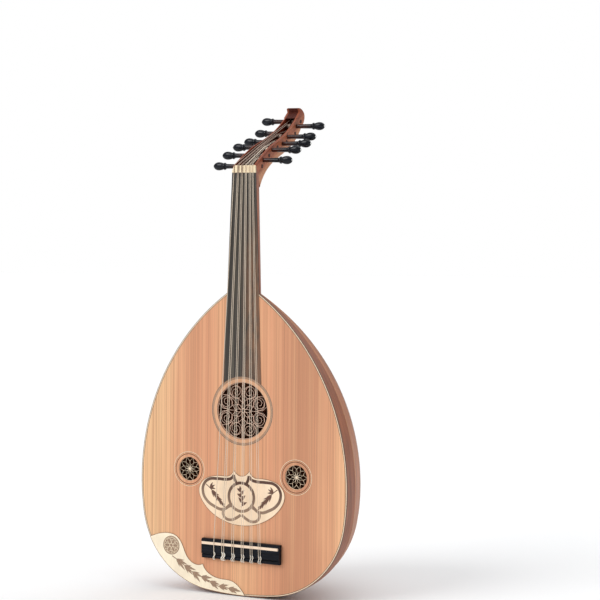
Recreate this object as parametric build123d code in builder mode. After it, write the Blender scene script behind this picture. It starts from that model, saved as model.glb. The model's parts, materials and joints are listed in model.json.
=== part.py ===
from build123d import *
import os
from math import asin, atan2, cos, degrees, hypot, radians, sin, sqrt

# A full-size Arabic oud. The soundboard's rim lies in the plane Y = 0, the strings are at -Y
# and the bowl at +Y. Z runs up the neck from the tail end of the rim, X points to the treble side.

# Body outline: three tangent arcs a side, from the tail, round the corner and up the flank.
HALF_WIDTH = 192.5
WIDEST_Z = 183.0
NECK_JOINT_Z = 498.0
NECK_JOINT_HALF = 30.0
NECK_JOINT_DEPTH = 22.0
TAIL_RADIUS = 520.0
CORNER_RADIUS = 144.0

# Bowl: the outline swells to these figures straight behind the soundboard.
BOWL_DEPTH = 203.0
BOWL_DEEPEST_Z = 173.0
BOWL_CORNER_RADIUS = 190.0
RIB_COUNT = 17
RIB_THICKNESS = 3.0
TAIL_HOLE_RADIUS = 6.0

# Soundboard and what is let into it.
BOARD_THICKNESS = 2.0
BINDING_WIDTH = 3.0
INLAY_DEPTH = 1.0
ROSE_Z = 305.3
ROSE_OPENING_RADIUS = 46.6
ROSE_RING_RADIUS = 57.0
SMALL_ROSE_X = 100.0
SMALL_ROSE_Z = 202.6
SMALL_OPENING_RADIUS = 20.1
SMALL_RINGS = ((24.6, 25.8), (27.8, 29.0))
ROSE_FLANGE = 5.4
ROSE_THICKNESS = 1.6
MAIN_ROSE_HOLES = (8, 30.0, 10.4, 12.0)
SMALL_ROSE_HOLES = (8, 13.0, 4.2, 6.0)
PLATE_THICKNESS = 0.8

# Neck, fingerboard and nut.
NUT_Z = 695.0
NUT_LENGTH = 12.0
NUT_HALF = 21.5
FINGERBOARD_RISE = 1.0
FINGERBOARD_TAPER = 0.0395
NUT_TOP_Y = -4.0
NECK_END_DEPTH = 18.0

# Pegbox, seen from the side as (Y, Z) points. Its foot lies on the neck's slanted end.
FOOT_FRONT = (0.0, 707.0)
FOOT_BACK = (17.0, 671.0)
FRONT_EDGE = (
    FOOT_FRONT,
    (24.0, 722.5),
    (60.0, 740.5),
    (91.0, 752.0),
    (120.0, 764.5),
    (140.0, 776.0),
    (160.0, 790.0),
)
BACK_EDGE = (FOOT_BACK, (40.0, 697.0), (68.6, 713.5), (111.0, 730.0), (154.0, 751.0), (181.0, 777.0))
HEAD_FRONT = ((160.0, 790.0), (172.0, 801.0), (169.0, 807.5))
HEAD_CROWN = ((169.0, 807.5), (182.0, 806.0), (191.0, 797.0), (189.0, 785.0), (181.0, 777.0))
HEAD_HOLLOW = ((181.0, 777.0), (183.5, 786.5), (177.0, 794.0), (160.0, 790.0))
HEAD_RECESS = ((156.3, 786.6), (170.6, 799.7), (172.3, 797.9), (158.0, 784.8))
PEGBOX_HALF_AT_NUT = 21.0
PEGBOX_HALF_AT_HEAD = 12.0
PEGBOX_HEAD_Y = 175.0
CHEEK_THICKNESS = 3.6
EDGE_ROUNDING = 2.4
FLOOR_INSIDE = (
    (177.4, 781.6),
    (150.5, 755.0),
    (109.0, 735.0),
    (66.0, 718.5),
    (37.0, 702.0),
    (16.0, 692.0),
)
FLOOR_END = (181.9, 780.6)

# Solids that are trimmed afterwards are first drawn this far.
TRIM_HALF_WIDTH = 25.0
TRIM_FRONT_Y = -20.0
TRIM_BACK_Y = 260.0
TRIM_LOW_Z = 600.0
TRIM_HEIGHT = 300.0
BORE_REACH = 30.0

# Peg axes, as (Y, Z), from the nut towards the head.
LEFT_PEGS = (
    (23.0, 705.8),
    (50.0, 724.0),
    (82.5, 738.5),
    (118.0, 748.5),
    (152.5, 764.0),
    (175.0, 785.0),
)
RIGHT_PEGS = ((28.0, 716.0), (62.0, 733.7), (102.0, 745.2), (122.0, 757.4), (158.0, 776.2))
PEG_RADIUS = 3.5
PEG_TAPER = 1.0 / 60.0
PEG_CLEARANCE = 0.05
PEG_OVERSHOOT = 0.6
STRING_HOLE_RADIUS = 0.7
STRING_HOLE_DEPTH = 12.0
LEFT_SHAFT_OUT = 25.0
RIGHT_SHAFT_OUT = 28.0
COLLAR = ((0.0, 3.6), (2.4, 4.5), (4.2, 5.9), (5.4, 5.9), (6.6, 4.3))
THUMB = (
    (0.0, 4.3, 4.3),
    (4.0, 6.1, 4.9),
    (9.0, 6.8, 5.0),
    (14.0, 6.0, 4.2),
    (17.6, 3.6, 2.8),
    (18.8, 1.7, 1.5),
)

# Bridge.
BRIDGE_X = 2.0
BRIDGE_LENGTH = 146.0
BRIDGE_TAIL_Z = 58.0
BRIDGE_NECK_Z = 90.4
BRIDGE_TOP_Y = -10.0
BRIDGE_LEDGE_Y = -8.4
BRIDGE_LEDGE_LENGTH = 5.0
BRIDGE_GROOVE_Y = -7.6
BRIDGE_STEP_LENGTH = 8.0
BRIDGE_FRONT_SLOPE = 2.0
SADDLE_Z = 83.2
SADDLE_DEPTH = 2.0
SADDLE_SHORTER = 4.0
SADDLE_SHIFT = -1.0
SADDLE_WIDTH = 4.4
SADDLE_TOP_Y = -11.0

# Strings, from the bass side: radius, X at the bridge, X at the nut and the peg it winds on.
STRINGS = (
    (0.60, -46.5, -16.7, "L", 5),
    (0.55, -31.4, -10.4, "R", 4),
    (0.55, -27.8, -8.2, "L", 4),
    (0.50, -12.8, -3.3, "R", 3),
    (0.50, -9.3, -1.1, "L", 3),
    (0.45, 5.2, 3.8, "R", 2),
    (0.45, 8.8, 6.0, "L", 2),
    (0.38, 21.8, 10.6, "R", 1),
    (0.38, 25.4, 12.8, "L", 1),
    (0.35, 37.0, 15.9, "R", 0),
    (0.35, 40.5, 17.8, "L", 0),
)
COURSES = ((0,), (1, 2), (3, 4), (5, 6), (7, 8), (9, 10))
STRING_GAP = 0.35
STRING_BEND_RADIUS = 1.2

# Guard plates on the soundboard, as (X, Z) points. The pickguard is the same on both sides.
PICKGUARD_NOTCH = ((0, 197.5), (5, 198.3), (10, 201.5), (14.8, 206.3))
PICKGUARD_HORN = ((14.8, 206.3), (20, 198.8), (29, 195.4))
PICKGUARD_EDGE = (
    (29, 195.4),
    (56, 193.6),
    (74, 184.0),
    (80, 170.8),
    (72, 149.0),
    (50, 129.5),
    (25, 119.0),
    (0, 116.0),
)
CORNER_GUARD_UPPER = (
    (-220, 70.0),
    (-176, 82.5),
    (-160, 89.0),
    (-143, 92.0),
    (-124, 88.5),
    (-113, 76.5),
    (-105.5, 60.0),
    (-94.5, 47.5),
    (-81, 43.5),
    (-72.5, 46.0),
)
CORNER_GUARD_LOWER = (
    (-72.5, 46.0),
    (-66.5, 36.0),
    (-52, 27.0),
    (-37, 24.0),
    (-18, 22.5),
    (-4, 14.5),
    (10, -6),
)
CORNER_GUARD_OUTSIDE = ((10, -6), (-220, -6), (-220, 70.0))
CORNER_GUARD_INSET = 0.3

# Inside the bowl.
BRACES_Z = (40.0, 118.0, 162.0, 240.0, 366.0, 410.0, 446.0)
BRACE_WIDTH = 6.0
BRACE_DEPTH = 18.0
BRACE_END_DEPTH = 5.0
BRACE_END_GAP = 6.0
BRACE_SCOOP = 22.0
LINING_GAP = 0.6
LINING_WIDTH = 6.0
LINING_DEPTH = 5.0
TAIL_BLOCK_RADIUS = 55.0
TAIL_BLOCK_ARC = 290.0
TAIL_BLOCK_GAP = 0.15
TAIL_BLOCK_EDGE_Z = 22.0
TAIL_BLOCK_TOP_Z = 30.0
TAIL_CAP_RADIUS = 46.0
TAIL_CAP_THICKNESS = 1.2
TAIL_PLUG_RADIUS = 6.3
NECK_BLOCK_HEIGHT = 26.0
NECK_BLOCK_FOOT = (56.0, 50.0)
NECK_BLOCK_TOP = (23.0, 15.2)
NECK_BLOCK_SPACE = 27.0

FACE = Plane.XZ.offset(BOARD_THICKNESS)
os.makedirs("parts", exist_ok=True)


def save(part, name):
    part.label = name
    export_step(part, f"parts/{name}.step")


def ellipse_radius(across, deep, angle):
    """Distance from the centre of an ellipse to its edge at an angle."""
    return 1.0 / sqrt((cos(angle) / across) ** 2 + (sin(angle) / deep) ** 2)


def profile_arcs(angle, inset):
    """The three arcs of the bowl's profile at an angle round Z, as centre, radius, start and end."""
    swell = sin(angle) ** 2
    wide = hypot(HALF_WIDTH * cos(angle), BOWL_DEPTH * sin(angle))
    widest_z = WIDEST_Z + (BOWL_DEEPEST_Z - WIDEST_Z) * swell
    corner_radius = CORNER_RADIUS + (BOWL_CORNER_RADIUS - CORNER_RADIUS) * swell
    neck = ellipse_radius(NECK_JOINT_HALF, NECK_JOINT_DEPTH, angle)
    rise = NECK_JOINT_Z - widest_z
    flank_radius = ((wide - neck) ** 2 + rise**2) / (2 * (wide - neck))
    flank_x = wide - flank_radius
    apart_x, apart_z = flank_x, widest_z - TAIL_RADIUS
    apart = hypot(apart_x, apart_z)
    to_tail = TAIL_RADIUS - corner_radius
    to_flank = flank_radius - corner_radius
    along = (to_tail**2 - to_flank**2 + apart**2) / (2 * apart)
    aside = sqrt(to_tail**2 - along**2)
    corner_x = (along * apart_x - aside * apart_z) / apart
    corner_z = TAIL_RADIUS + (along * apart_z + aside * apart_x) / apart
    first = degrees(atan2(corner_z - TAIL_RADIUS, corner_x))
    second = degrees(atan2(corner_z - widest_z, corner_x - flank_x))
    last = degrees(asin((NECK_JOINT_Z - widest_z) / (flank_radius - inset)))
    return (
        ((0, TAIL_RADIUS), TAIL_RADIUS - inset, -90.0, first),
        ((corner_x, corner_z), corner_radius - inset, first, second),
        ((flank_x, widest_z), flank_radius - inset, second, last),
    )


def point_on(centre, radius, angle):
    return (centre[0] + radius * cos(radians(angle)), centre[1] + radius * sin(radians(angle)))


def draw_profile(angle, inset, start_x):
    """Draws one profile inside a BuildLine and returns its two ends."""
    tail, corner, flank = profile_arcs(angle, inset)
    start = -90.0 + degrees(asin(start_x / tail[1]))
    CenterArc(tail[0], tail[1], start, tail[3] - start)
    CenterArc(corner[0], corner[1], corner[2], corner[3] - corner[2])
    CenterArc(flank[0], flank[1], flank[2], flank[3] - flank[2])
    return point_on(tail[0], tail[1], start), point_on(flank[0], flank[1], flank[3])


def draw_outline(inset):
    """Draws the soundboard's closed outline inside a BuildLine."""
    tail, corner, flank = profile_arcs(0.0, inset)
    for arc in (tail, corner, flank):
        CenterArc(arc[0], arc[1], arc[2], arc[3] - arc[2])
        left = (-arc[0][0], arc[0][1])
        CenterArc(left, arc[1], 180.0 - arc[2], arc[2] - arc[3])
    end = point_on(flank[0], flank[1], flank[3])
    Line(end, (-end[0], end[1]))


def half_width_at(z, inset):
    """Half the width of the inset outline at a height."""
    tail, corner, flank = profile_arcs(0.0, inset)
    for centre, radius, start, end in (tail, corner, flank):
        if z <= point_on(centre, radius, end)[1]:
            return centre[0] + sqrt(radius**2 - (z - centre[1]) ** 2)
    return NECK_JOINT_HALF - inset


# The bowl's ribs, each ruled between two planes through the Z axis.
def strip_between(index, outer_inset, inner_inset):
    """The strip of the bowl between two neighbouring planes and two insets from its surface."""
    step = radians(180.0 / RIB_COUNT)
    with BuildPart() as strip:
        for angle in (index * step, (index + 1) * step):
            x_dir = (cos(angle), sin(angle), 0)
            z_dir = (sin(angle), -cos(angle), 0)
            with BuildSketch(Plane(origin=(0, 0, 0), x_dir=x_dir, z_dir=z_dir)):
                with BuildLine():
                    folded = min(angle, radians(180) - angle)
                    outer_tail, outer_neck = draw_profile(folded, outer_inset, TAIL_HOLE_RADIUS)
                    inner_tail, inner_neck = draw_profile(folded, inner_inset, TAIL_HOLE_RADIUS)
                    Line(outer_tail, inner_tail)
                    Line(outer_neck, inner_neck)
                make_face()
        loft(ruled=True)
    return strip.part


for rib_index in range(RIB_COUNT):
    save(strip_between(rib_index, 0.0, RIB_THICKNESS), f"rib_{rib_index + 1:02d}")


# Soundboard, cut for the roses and the inlaid rings, then parted on the centre line.
def draw_small_rings():
    for inner, outer in SMALL_RINGS:
        with Locations((-SMALL_ROSE_X, SMALL_ROSE_Z), (SMALL_ROSE_X, SMALL_ROSE_Z)):
            Circle(outer)
            Circle(inner, mode=Mode.SUBTRACT)


def make_soundboard(name, keep):
    with BuildPart() as board:
        with BuildSketch(Plane.XZ):
            with BuildLine():
                draw_outline(BINDING_WIDTH)
            make_face()
        extrude(amount=BOARD_THICKNESS)
        with BuildSketch(Plane.XZ):
            with Locations((0, ROSE_Z)):
                Circle(ROSE_OPENING_RADIUS)
            with Locations((-SMALL_ROSE_X, SMALL_ROSE_Z), (SMALL_ROSE_X, SMALL_ROSE_Z)):
                Circle(SMALL_OPENING_RADIUS)
        extrude(amount=BOARD_THICKNESS, mode=Mode.SUBTRACT)
        with BuildSketch(FACE):
            with Locations((0, ROSE_Z)):
                Circle(ROSE_RING_RADIUS)
            draw_small_rings()
        extrude(amount=-INLAY_DEPTH, mode=Mode.SUBTRACT)
        split(bisect_by=Plane.YZ, keep=keep)
    save(board.part, name)


make_soundboard("soundboard_treble", Keep.TOP)
make_soundboard("soundboard_bass", Keep.BOTTOM)

with BuildPart() as edge_binding:
    with BuildSketch(Plane.XZ):
        with BuildLine():
            draw_outline(0.0)
        make_face()
        with BuildLine():
            draw_outline(BINDING_WIDTH)
        make_face(mode=Mode.SUBTRACT)
    extrude(amount=BOARD_THICKNESS)
save(edge_binding.part, "edge_binding")

with BuildPart() as main_rose_ring:
    with BuildSketch(FACE):
        with Locations((0, ROSE_Z)):
            Circle(ROSE_RING_RADIUS)
            Circle(ROSE_OPENING_RADIUS, mode=Mode.SUBTRACT)
    extrude(amount=-INLAY_DEPTH)
save(main_rose_ring.part, "main_rose_ring")

with BuildPart() as small_rose_rings:
    with BuildSketch(FACE):
        draw_small_rings()
    extrude(amount=-INLAY_DEPTH)
save(small_rose_rings.part, "small_rose_rings")


# The roses: pierced discs glued behind the openings.
def make_rose(name, x, z, opening, holes):
    """A pierced disc. holes gives the number of round holes, their place, their radius and the middle's."""
    roundels, ring, roundel, centre = holes
    with BuildPart() as rose:
        with BuildSketch(Plane.XZ.offset(-ROSE_THICKNESS)):
            with Locations((x, z)):
                Circle(opening + ROSE_FLANGE)
                Circle(centre, mode=Mode.SUBTRACT)
                with PolarLocations(ring, roundels):
                    Circle(roundel, mode=Mode.SUBTRACT)
        extrude(amount=ROSE_THICKNESS)
    save(rose.part, name)


make_rose("main_rose", 0, ROSE_Z, ROSE_OPENING_RADIUS, MAIN_ROSE_HOLES)
make_rose("small_rose_bass", -SMALL_ROSE_X, SMALL_ROSE_Z, SMALL_OPENING_RADIUS, SMALL_ROSE_HOLES)
make_rose("small_rose_treble", SMALL_ROSE_X, SMALL_ROSE_Z, SMALL_OPENING_RADIUS, SMALL_ROSE_HOLES)


# Inside the bowl: blocks at both ends, the rim's lining and the bars under the soundboard.
with BuildPart() as tail_block:
    gap = RIB_THICKNESS + TAIL_BLOCK_GAP
    foot_z = gap + TAIL_BLOCK_ARC - sqrt(TAIL_BLOCK_ARC**2 - TAIL_BLOCK_RADIUS**2)
    with BuildSketch(Plane.XZ):
        with BuildLine():
            sweep_angle = degrees(asin(TAIL_BLOCK_RADIUS / TAIL_BLOCK_ARC))
            CenterArc((0, gap + TAIL_BLOCK_ARC), TAIL_BLOCK_ARC, -90, sweep_angle)
            Polyline(
                (TAIL_BLOCK_RADIUS, foot_z),
                (TAIL_BLOCK_RADIUS, TAIL_BLOCK_EDGE_Z),
                (0, TAIL_BLOCK_TOP_Z),
                (0, gap),
            )
        make_face()
    revolve(axis=Axis.Z, revolution_arc=180)
save(tail_block.part, "tail_block")

with BuildPart() as tail_cap:
    for cap_index in range(RIB_COUNT):
        add(strip_between(cap_index, -TAIL_CAP_THICKNESS, 0.0))
    with BuildSketch(Plane.XY.offset(-5)):
        Circle(TAIL_CAP_RADIUS)
    extrude(amount=20, mode=Mode.INTERSECT)
    with BuildSketch(Plane.XY.offset(-TAIL_CAP_THICKNESS)):
        with BuildLine():
            CenterArc((0, 0), TAIL_PLUG_RADIUS, 0, 180)
            Line((-TAIL_PLUG_RADIUS, 0), (TAIL_PLUG_RADIUS, 0))
        make_face()
    extrude(amount=TAIL_CAP_THICKNESS)
save(tail_cap.part, "tail_cap")


def draw_half_oval(across, deep, side):
    """Draws a D inside a BuildLine: flat in front, straight sides, then an elliptical back."""
    arc_deep = deep - side
    EllipticalCenterArc((0, side), across, arc_deep, start_angle=0, arc_size=180)
    Polyline((-across, side), (-across, 0), (across, 0), (across, side))


with BuildPart() as neck_block:
    block_low_z = NECK_JOINT_Z - NECK_BLOCK_HEIGHT
    for z, (across, deep) in ((block_low_z, NECK_BLOCK_FOOT), (NECK_JOINT_Z, NECK_BLOCK_TOP)):
        with BuildSketch(Plane.XY.offset(z)):
            with BuildLine():
                draw_half_oval(across, deep, 1.0)
            make_face()
    loft(ruled=True)
save(neck_block.part, "neck_block")

with BuildPart() as rim_lining:
    with BuildSketch(Plane.XZ):
        with BuildLine():
            draw_outline(RIB_THICKNESS + LINING_GAP)
        make_face()
        with BuildLine():
            draw_outline(RIB_THICKNESS + LINING_GAP + LINING_WIDTH)
        make_face(mode=Mode.SUBTRACT)
        with Locations((0, 0)):
            Rectangle(2 * TAIL_BLOCK_RADIUS + 2, 80, mode=Mode.SUBTRACT)
        with Locations((0, NECK_JOINT_Z)):
            Rectangle(HALF_WIDTH, 2 * NECK_BLOCK_SPACE, mode=Mode.SUBTRACT)
    extrude(amount=-LINING_DEPTH)
save(rim_lining.part, "rim_lining")

with BuildPart() as face_braces:
    for brace_z in BRACES_Z:
        reach = half_width_at(brace_z, RIB_THICKNESS + LINING_GAP + LINING_WIDTH) - BRACE_END_GAP
        with BuildSketch(Plane.XY.offset(brace_z)):
            with BuildLine():
                Polyline(
                    (-reach, 0),
                    (reach, 0),
                    (reach, BRACE_END_DEPTH),
                    (reach - BRACE_SCOOP, BRACE_DEPTH),
                    (BRACE_SCOOP - reach, BRACE_DEPTH),
                    (-reach, BRACE_END_DEPTH),
                    close=True,
                )
            make_face()
        extrude(amount=BRACE_WIDTH / 2, both=True)
save(face_braces.part, "face_braces")


# Neck, cut on the slant that the pegbox stands on.
def slant_plane():
    """The joint between neck and pegbox, its normal towards the pegbox."""
    rise = FOOT_FRONT[1] - FOOT_BACK[1]
    back = FOOT_BACK[0] - FOOT_FRONT[0]
    return Plane(origin=(0, FOOT_FRONT[0], FOOT_FRONT[1]), x_dir=(1, 0, 0), z_dir=(0, rise, back))


with BuildPart() as neck:
    with BuildSketch(Plane.XY.offset(NECK_JOINT_Z)):
        with BuildLine():
            draw_half_oval(NECK_JOINT_HALF, NECK_JOINT_DEPTH, 1.0)
        make_face()
    with BuildSketch(Plane.XY.offset(FOOT_FRONT[1] + 3)):
        with BuildLine():
            draw_half_oval(PEGBOX_HALF_AT_NUT, NECK_END_DEPTH, 8.5)
        make_face()
    loft(ruled=True)
    split(bisect_by=slant_plane(), keep=Keep.BOTTOM)
save(neck.part, "neck")


def fingerboard_half(z):
    return NUT_HALF + (NUT_Z - z) * FINGERBOARD_TAPER


def draw_fingerboard(low_z):
    """Draws the fingerboard's plan inside a BuildLine, down to a height."""
    Polyline(
        (-fingerboard_half(low_z), low_z),
        (fingerboard_half(low_z), low_z),
        (NUT_HALF, NUT_Z),
        (-NUT_HALF, NUT_Z),
        close=True,
    )


with BuildPart() as fingerboard:
    with BuildSketch(FACE):
        with BuildLine():
            draw_fingerboard(ROSE_Z + 20)
        make_face()
        with Locations((0, ROSE_Z)):
            Circle(ROSE_RING_RADIUS, mode=Mode.SUBTRACT)
        with Locations((0, ROSE_Z)):
            Rectangle(90, 84, mode=Mode.SUBTRACT)
    extrude(amount=FINGERBOARD_RISE)
    with BuildSketch(Plane.XZ):
        with BuildLine():
            draw_fingerboard(NECK_JOINT_Z)
        make_face()
    extrude(amount=BOARD_THICKNESS)
save(fingerboard.part, "fingerboard")


def nut_x(string):
    return STRINGS[string][2]


with BuildPart() as nut:
    with BuildSketch(Plane.XZ):
        with BuildLine():
            top = NUT_Z + NUT_LENGTH
            Polyline(
                (-NUT_HALF, NUT_Z),
                (NUT_HALF, NUT_Z),
                (PEGBOX_HALF_AT_NUT, top),
                (4 - PEGBOX_HALF_AT_NUT, top),
                (0.6 - PEGBOX_HALF_AT_NUT, top - 7),
                close=True,
            )
        make_face()
    extrude(amount=-NUT_TOP_Y)
    rear_edge = nut.edges().filter_by(Axis.X).group_by(Axis.Z)[-1].sort_by(Axis.Y)[0]
    chamfer(rear_edge, 1.5)
    for string_index in range(len(STRINGS)):
        with Locations((nut_x(string_index), NUT_TOP_Y - 0.5, NUT_Z + NUT_LENGTH / 2)):
            Cylinder(1.1, NUT_LENGTH + 2, mode=Mode.SUBTRACT)
save(nut.part, "nut")


# Pegbox.
def pegbox_half(y):
    share = min(max(y / PEGBOX_HEAD_Y, 0.0), 1.0)
    return PEGBOX_HALF_AT_NUT + (PEGBOX_HALF_AT_HEAD - PEGBOX_HALF_AT_NUT) * share


def taper_wedge(thinner):
    """What lies between the pegbox's tapering side planes, brought in by an amount."""
    near = PEGBOX_HALF_AT_NUT - thinner
    far = PEGBOX_HALF_AT_HEAD - thinner
    with BuildPart() as wedge:
        with BuildSketch(Plane.XY.offset(TRIM_LOW_Z)):
            with BuildLine():
                Polyline(
                    (-near, TRIM_FRONT_Y),
                    (near, TRIM_FRONT_Y),
                    (near, 0),
                    (far, PEGBOX_HEAD_Y),
                    (far, TRIM_BACK_Y),
                    (-far, TRIM_BACK_Y),
                    (-far, PEGBOX_HEAD_Y),
                    (-near, 0),
                    close=True,
                )
            make_face()
        extrude(amount=TRIM_HEIGHT)
    return wedge.part


def bore_for_pegs():
    for side, pegs in ((-1, LEFT_PEGS), (1, RIGHT_PEGS)):
        for y, z in pegs:
            middle = shaft_radius(y, 0.0) + PEG_CLEARANCE
            with Locations(Plane(origin=(0, y, z), z_dir=(side, 0, 0))):
                Cone(
                    middle - BORE_REACH * PEG_TAPER,
                    middle + BORE_REACH * PEG_TAPER,
                    2 * BORE_REACH,
                    mode=Mode.SUBTRACT,
                )


def shaft_radius(y, x):
    """A peg shaft's radius at x towards its head; it is full size at the near cheek."""
    return PEG_RADIUS + (x - pegbox_half(y)) * PEG_TAPER


def curved_rims(faces, side):
    """The curved edges of the flat faces that look out to one side."""
    flat = faces.filter_by(GeomType.PLANE)
    outward = [face for face in flat if side * face.normal_at().X > 0.9]
    return [edge for face in outward for edge in face.edges() if edge.geom_type != GeomType.LINE]


def make_cheek(name, side, keep):
    with BuildPart() as cheek:
        with BuildSketch(Plane.YZ):
            with BuildLine():
                Spline(*FRONT_EDGE)
                Polyline(*reversed(HEAD_HOLLOW))
                Spline(*reversed(BACK_EDGE))
                Line(FOOT_BACK, FOOT_FRONT)
            make_face()
        extrude(amount=TRIM_HALF_WIDTH, both=True)
        add(taper_wedge(0.0), mode=Mode.INTERSECT)
        add(taper_wedge(CHEEK_THICKNESS), mode=Mode.SUBTRACT)
        split(bisect_by=Plane.YZ, keep=keep)
        fillet(curved_rims(cheek.faces(), side), EDGE_ROUNDING)
        bore_for_pegs()
    save(cheek.part, name)


make_cheek("cheek_treble", 1, Keep.TOP)
make_cheek("cheek_bass", -1, Keep.BOTTOM)

with BuildPart() as pegbox_floor:
    with BuildSketch(Plane.YZ):
        with BuildLine():
            Spline(*BACK_EDGE)
            Polyline(BACK_EDGE[-1], FLOOR_END, FLOOR_INSIDE[0])
            Spline(*FLOOR_INSIDE)
            Polyline(FLOOR_INSIDE[-1], FOOT_FRONT, FOOT_BACK)
        make_face()
    extrude(amount=TRIM_HALF_WIDTH, both=True)
    add(taper_wedge(CHEEK_THICKNESS), mode=Mode.INTERSECT)
save(pegbox_floor.part, "pegbox_floor")


def head_recess():
    """The shallow bed in the head's front, between the lines of the two cheeks."""
    with BuildPart() as recess:
        with BuildSketch(Plane.YZ):
            with BuildLine():
                Polyline(*HEAD_RECESS, close=True)
            make_face()
        extrude(amount=TRIM_HALF_WIDTH, both=True)
        add(taper_wedge(CHEEK_THICKNESS), mode=Mode.INTERSECT)
    return recess.part


with BuildPart() as pegbox_head:
    with BuildSketch(Plane.YZ):
        with BuildLine():
            Polyline(*HEAD_FRONT)
            Spline(*HEAD_CROWN)
            Polyline(*HEAD_HOLLOW)
        make_face()
    extrude(amount=TRIM_HALF_WIDTH, both=True)
    add(taper_wedge(0.0), mode=Mode.INTERSECT)
    fillet(curved_rims(pegbox_head.faces(), 1) + curved_rims(pegbox_head.faces(), -1), EDGE_ROUNDING)
    add(head_recess(), mode=Mode.SUBTRACT)
save(pegbox_head.part, "pegbox_head")


# Pegs: a tapered shaft across both cheeks, a turned collar and a flattened thumb piece.
def make_peg(name, side, y, z, shaft_out):
    half = pegbox_half(y)
    far_end = -half - PEG_OVERSHOOT
    neck_x = half + shaft_out
    collar = [(neck_x + along, radius) for along, radius in COLLAR]
    collar[0] = (neck_x, shaft_radius(y, neck_x))
    place = Plane(origin=(0, y, z), x_dir=(side, 0, 0), z_dir=(0, -side, 0))
    with BuildPart() as peg:
        with BuildSketch(place):
            with BuildLine():
                Polyline(
                    collar[-1],
                    (collar[-1][0], 0),
                    (far_end, 0),
                    (far_end, shaft_radius(y, far_end)),
                    collar[0],
                )
                Spline(*collar[:3])
                Polyline(*collar[2:])
            make_face()
        revolve(axis=Axis((0, y, z), (side, 0, 0)))
        for along, tall, thick in THUMB:
            at = side * (collar[-1][0] + along)
            with BuildSketch(Plane(origin=(at, y, z), x_dir=(0, 0, 1), z_dir=(side, 0, 0))):
                Ellipse(tall, thick)
        loft()
        with Locations(Plane(origin=(0, y, z), z_dir=(0, -0.45, 0.9))):
            Cylinder(STRING_HOLE_RADIUS, STRING_HOLE_DEPTH, mode=Mode.SUBTRACT)
    save(peg.part, name)


for peg_index, (peg_y, peg_z) in enumerate(LEFT_PEGS):
    make_peg(f"peg_bass_{peg_index + 1}", -1, peg_y, peg_z, LEFT_SHAFT_OUT)
for peg_index, (peg_y, peg_z) in enumerate(RIGHT_PEGS):
    make_peg(f"peg_treble_{peg_index + 1}", 1, peg_y, peg_z, RIGHT_SHAFT_OUT)


# Bridge with its bone saddle.
with BuildPart() as bridge:
    with BuildSketch(Plane.YZ):
        with BuildLine():
            Polyline(
                (-BOARD_THICKNESS, BRIDGE_TAIL_Z),
                (BRIDGE_LEDGE_Y, BRIDGE_TAIL_Z),
                (BRIDGE_LEDGE_Y, BRIDGE_TAIL_Z + BRIDGE_LEDGE_LENGTH),
                (BRIDGE_GROOVE_Y, BRIDGE_TAIL_Z + BRIDGE_LEDGE_LENGTH + 0.5),
                (BRIDGE_TOP_Y, BRIDGE_TAIL_Z + BRIDGE_STEP_LENGTH),
                (BRIDGE_TOP_Y, SADDLE_Z - SADDLE_WIDTH / 2),
                (BRIDGE_TOP_Y + SADDLE_DEPTH, SADDLE_Z - SADDLE_WIDTH / 2),
                (BRIDGE_TOP_Y + SADDLE_DEPTH, SADDLE_Z + SADDLE_WIDTH / 2),
                (BRIDGE_TOP_Y, SADDLE_Z + SADDLE_WIDTH / 2),
                (BRIDGE_TOP_Y, BRIDGE_NECK_Z - BRIDGE_FRONT_SLOPE),
                (BRIDGE_TOP_Y + BRIDGE_FRONT_SLOPE, BRIDGE_NECK_Z),
                (-BOARD_THICKNESS, BRIDGE_NECK_Z),
                close=True,
            )
        make_face()
    extrude(amount=BRIDGE_LENGTH / 2, both=True)
bridge_part = bridge.part.moved(Location((BRIDGE_X, 0, 0)))
save(bridge_part, "bridge")

with BuildPart() as saddle:
    saddle_bed_y = BRIDGE_TOP_Y + SADDLE_DEPTH
    with Locations((BRIDGE_X + SADDLE_SHIFT, (saddle_bed_y + SADDLE_TOP_Y) / 2, SADDLE_Z)):
        Box(BRIDGE_LENGTH - SADDLE_SHORTER, saddle_bed_y - SADDLE_TOP_Y, SADDLE_WIDTH)
save(saddle.part, "bridge_saddle")


# Plates that guard the soundboard's face.
with BuildPart() as pickguard:
    with BuildSketch(FACE):
        with BuildLine():
            for side in (1, -1):
                for edge in (PICKGUARD_NOTCH, PICKGUARD_HORN, PICKGUARD_EDGE):
                    Spline(*((side * x, z) for x, z in edge))
        make_face()
    extrude(amount=PLATE_THICKNESS)
save(pickguard.part, "pickguard")

with BuildPart() as corner_guard:
    with BuildSketch(FACE):
        with BuildLine():
            draw_outline(CORNER_GUARD_INSET)
        make_face()
        with BuildLine():
            Spline(*CORNER_GUARD_UPPER)
            Spline(*CORNER_GUARD_LOWER)
            Polyline(*CORNER_GUARD_OUTSIDE)
        make_face(mode=Mode.INTERSECT)
    extrude(amount=PLATE_THICKNESS)
save(corner_guard.part, "corner_guard")


# Strings: from the bridge over the saddle and the nut, and along the pegbox to their pegs.
def peg_of(string):
    _, _, _, side, index = STRINGS[string]
    return (LEFT_PEGS if side == "L" else RIGHT_PEGS)[index]


def tangent_point(start, centre, radius):
    """Where a line from start touches the upper side of a circle, in the YZ plane."""
    away_y, away_z = centre[0] - start[0], centre[1] - start[1]
    far = hypot(away_y, away_z)
    turn = atan2(away_z, away_y) + asin(radius / far)
    reach = sqrt(far**2 - radius**2)
    return (start[0] + reach * cos(turn), start[1] + reach * sin(turn))


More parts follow.
